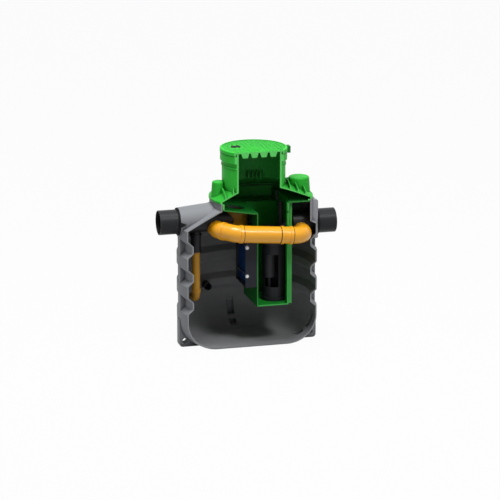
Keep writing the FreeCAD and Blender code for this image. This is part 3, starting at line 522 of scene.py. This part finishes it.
# Raised tread on the lid: short bars, every second row turned by a right angle, trimmed to the
# panel inside the lip, to the cut and around the lock bar
lockAt = (-0.063, 0.038)  # middle of the lock bar
tread = dict(long=0.019, wide=0.0055, tall=0.0036, edge=0.0012, turn=math.radians(45), pitch=0.028,
             across=16, panel=1.299, middle=(neckX, 0.0), reach=0.199, reachSides=128, trimTall=0.02,
             sawnAt=cutY + 0.0005, lockRoom=(0.072, 0.1))


def treadRows(name, turned, shift):
    bars = startPiece(name, bpy.ops.mesh.primitive_cube_add, size=1.0)
    bars.scale = (tread["long"], tread["wide"], tread["tall"])
    settle(bars, (0, 0, 0), (0, 0, turned))
    rounded(bars, tread["edge"])
    for axis in ((1, 0, 0), (0, 1, 0)):
        applied(bars, "ARRAY", count=tread["across"], use_relative_offset=False, use_constant_offset=True,
                constant_offset_displace=[tread["pitch"] * a for a in axis])
    half = tread["pitch"] * (tread["across"] - 1) / 2
    settle(bars, (tread["middle"][0] - half + shift, tread["middle"][1] - half + shift, tread["panel"]))
    return bars


lidTread = treadRows("lidTread", tread["turn"], 0)
crossed = treadRows("crossedTread", -tread["turn"], tread["pitch"] / 2)
pickOnly(lidTread)
crossed.select_set(True)
bpy.ops.object.join()
panelDisc = startPiece("panelDisc", bpy.ops.mesh.primitive_cylinder_add, vertices=tread["reachSides"],
                       radius=tread["reach"], depth=tread["trimTall"])
settle(panelDisc, (*tread["middle"], tread["panel"]))
lockBlock = startPiece("lockBlock", bpy.ops.mesh.primitive_cube_add, size=1.0)
lockBlock.scale = (*tread["lockRoom"], tread["trimTall"])
settle(lockBlock, (*lockAt, tread["panel"]))
applied(lidTread, "BOOLEAN", object=panelDisc, operation="INTERSECT", solver="EXACT")
applied(lidTread, "BOOLEAN", object=lockBlock, operation="DIFFERENCE", solver="EXACT")
halved(lidTread, tread["sawnAt"])
for tool in (panelDisc, lockBlock):
    bpy.data.objects.remove(tool)
finished(lidTread, insertPlastic)
print("lid tread made")

# Lock bar in the lid: two rounded pads and the web between them
lock = dict(pad=(0.026, 0.07), padSides=48, apart=0.034, web=0.046, thick=0.005, up=1.2985, edge=0.0012)

lidKey = startPiece("lidKey", bpy.ops.mesh.primitive_cylinder_add, vertices=lock["padSides"], radius=0.5,
                    depth=lock["thick"])
lidKey.scale = (*lock["pad"], 1)
settle(lidKey, (-lock["apart"] / 2, 0, 0))
otherPad = copied(lidKey, "otherPad")
settle(otherPad, (lock["apart"], 0, 0))
web = startPiece("lockWeb", bpy.ops.mesh.primitive_cube_add, size=1.0)
web.scale = (lock["apart"], lock["web"], lock["thick"])
settle(web, (0, 0, 0))
for other in (web, otherPad):
    applied(lidKey, "BOOLEAN", object=other, operation="UNION", solver="EXACT")
    bpy.data.objects.remove(other)
rounded(lidKey, lock["edge"])
settle(lidKey, (*lockAt, lock["up"]))
finished(lidKey, grainy["blackKeyNylon"])

# Zinc washers on the filter's plate, under the front nuts
washers = dict(radius=0.008, thick=0.005, wide=0.0016)

upperWasher = flatRing("upperWasher", washers["radius"], washers["wide"], washers["thick"])
lowerWasher = copied(upperWasher, "lowerWasher")
plateFront = span("filter_frame", 1)[0]
for washer, rod in ((upperWasher, "filter_rod_upper"), (lowerWasher, "filter_rod_lower")):
    settle(washer, (sum(span(rod, 0)) / 2, plateFront - washers["wide"] / 2, sum(span(rod, 2)) / 2),
           (math.pi / 2, 0, 0))
    finished(washer, rodStuff)

# Fins inside the neck's foot, at the back, all turned towards its axis
fins = dict(angles=(86, 77, 68, 59), thick=0.009, deep=0.034, low=1.046, tall=0.05, radius=0.198, edge=0.003)

firstFin = startPiece("neckFin0", bpy.ops.mesh.primitive_cube_add, size=1.0)
firstFin.scale = (fins["deep"], fins["thick"], fins["tall"])
settle(firstFin, (0, 0, 0))
rounded(firstFin, fins["edge"])
settle(firstFin, (fins["radius"] - fins["deep"] / 2, 0, fins["low"] + fins["tall"] / 2))
neckFins = [firstFin] + [copied(firstFin, f"neckFin{number}") for number in range(1, len(fins["angles"]))]
for fin, angle in zip(neckFins, fins["angles"]):
    settle(fin, (neckX, 0, 0), (0, 0, math.radians(angle)))
    finished(fin, insertPlastic)

# Caps that raise the skirt's ribs, laid on the ribs, drawn straight up and tilted so that they
# fall towards the rim. Roots carry them on over the bare skirt as far as the stubs and the neck.
# Each place is the rib's X, where its cap starts and where its root does, to both sides.
ribCap = dict(thick=0.007, tall=0.019, dip=0.013, steepest=math.radians(12), spare=0.006)
ribRoot = dict(thick=0.0076, tall=0.0337, dip=0, steepest=0, spare=0)
ribs = dict(above=1.25, sink=0.001, sawnAt=cutY + 0.0005, rim=0.33, edge=0.0015, rootEnd=0.0775,
            places=((-0.177, 0.0783, 0.042), (-0.125, 0.1285, 0.1285), (0.255, 0.0783, 0.042),
                    (0.307, 0.0783, 0.054), (0.359, 0.0783, 0.067)))

strip = startPiece("ribStrip", bpy.ops.mesh.primitive_grid_add, x_subdivisions=2, y_subdivisions=6, size=1.0)


def ribPiece(name, shape, x, inner, outer):
    piece = copied(strip, name)
    length = abs(outer - inner)
    piece.scale = (shape["thick"], length, 1)
    settle(piece, (x, (inner + outer) / 2, ribs["above"]))
    applied(piece, "SHRINKWRAP", target=nodes["skirt"], wrap_method="PROJECT", use_project_z=True,
            use_positive_direction=False, use_negative_direction=True)
    bpy.ops.object.mode_set(mode="EDIT")
    bpy.ops.mesh.select_all(action="SELECT")
    bpy.ops.mesh.extrude_region_move(TRANSFORM_OT_translate={"value": (0, 0, shape["tall"])})
    bpy.ops.mesh.select_all(action="SELECT")
    bpy.ops.mesh.normals_make_consistent(inside=False)
    bpy.ops.object.mode_set(mode="OBJECT")
    rounded(piece, ribs["edge"])

    # Stretched a little and tilted about the top of the inner end, then sawn off again in front
    top = max(vertex.co.z for vertex in piece.data.vertices)
    tilt = min(math.asin(min(1, shape["dip"] / length)), shape["steepest"])
    settle(piece, (0, -inner, -top))
    piece.scale.y = 1 + shape["spare"] / length
    settle(piece, (0, inner, top - ribs["sink"]), (math.copysign(tilt, inner - outer), 0, 0))
    halved(piece, ribs["sawnAt"])
    finished(piece, shadedSkirtPlastic)


for number, (x, near, reach) in enumerate(ribs["places"]):
    far = math.sqrt(ribs["rim"] ** 2 - (x - skirtX) ** 2)
    ribPiece(f"frontRibCap{number}", ribCap, x, -near, ribs["sawnAt"])
    ribPiece(f"backRibCap{number}", ribCap, x, near, far)
    if reach < near:
        ribPiece(f"frontRibRoot{number}", ribRoot, x, -reach, -ribs["rootEnd"])
        ribPiece(f"backRibRoot{number}", ribRoot, x, reach, ribs["rootEnd"])
bpy.data.objects.remove(strip)
print("small pieces made")
